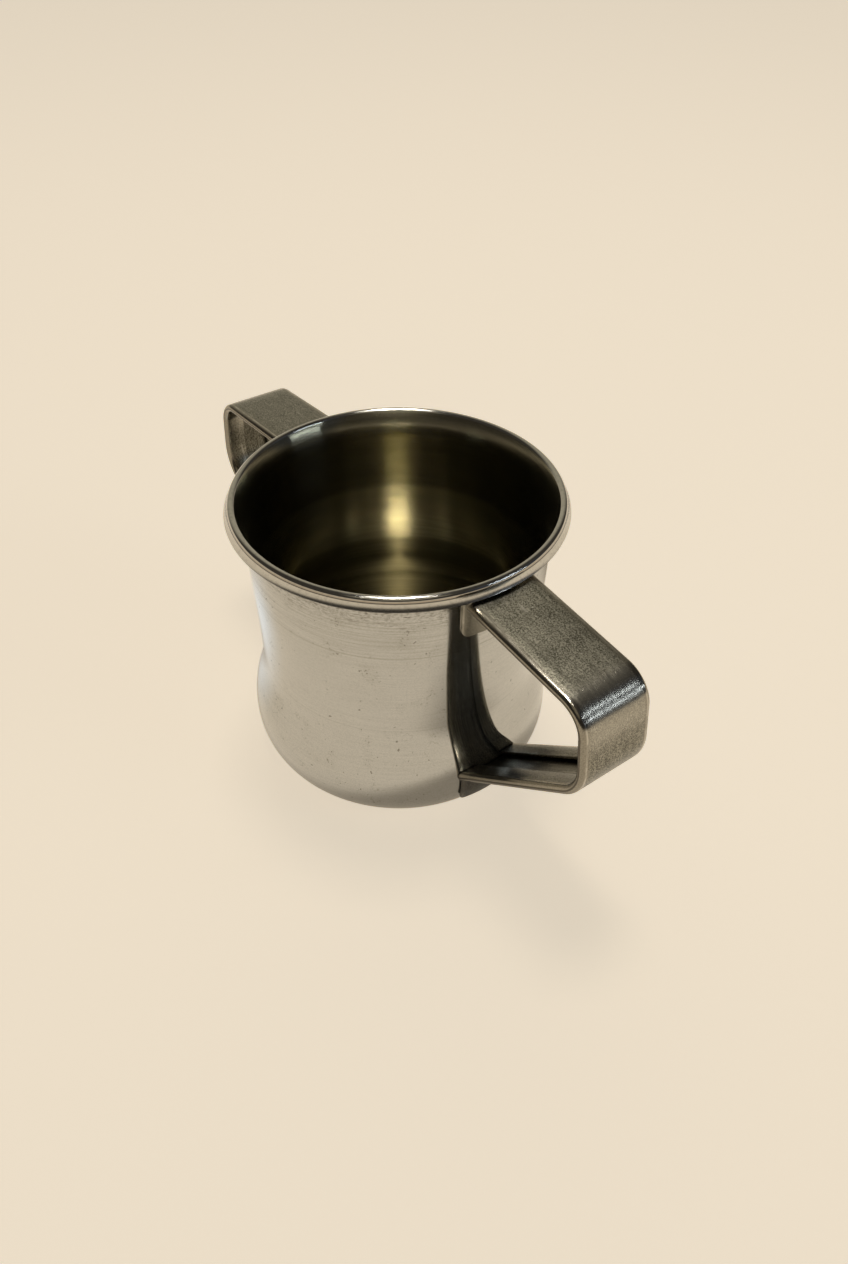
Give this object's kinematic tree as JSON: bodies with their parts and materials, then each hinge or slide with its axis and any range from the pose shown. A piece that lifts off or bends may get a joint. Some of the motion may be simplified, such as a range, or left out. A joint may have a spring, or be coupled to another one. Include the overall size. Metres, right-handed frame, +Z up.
{
  "type": "two-handled steel cup",
  "caption": "Stainless steel cup with a rounded belly, a waisted wall, a folded rim and a pair of opposite strap handles.",
  "frame": {"origin": "centre of the flat base, on the plane the cup stands on", "axes": "+Z up along the axis of the cup, +X through the middle of the right handle, -X through the left handle"},
  "size_m": [0.1698, 0.09, 0.084],
  "materials": {
    "body_steel": "polished",
    "handle_steel": "satin"
  },
  "bodies": {
    "root": {"cup_body": "body_steel", "right_handle": "handle_steel", "left_handle": "handle_steel"}
  },
  "joints": []
}
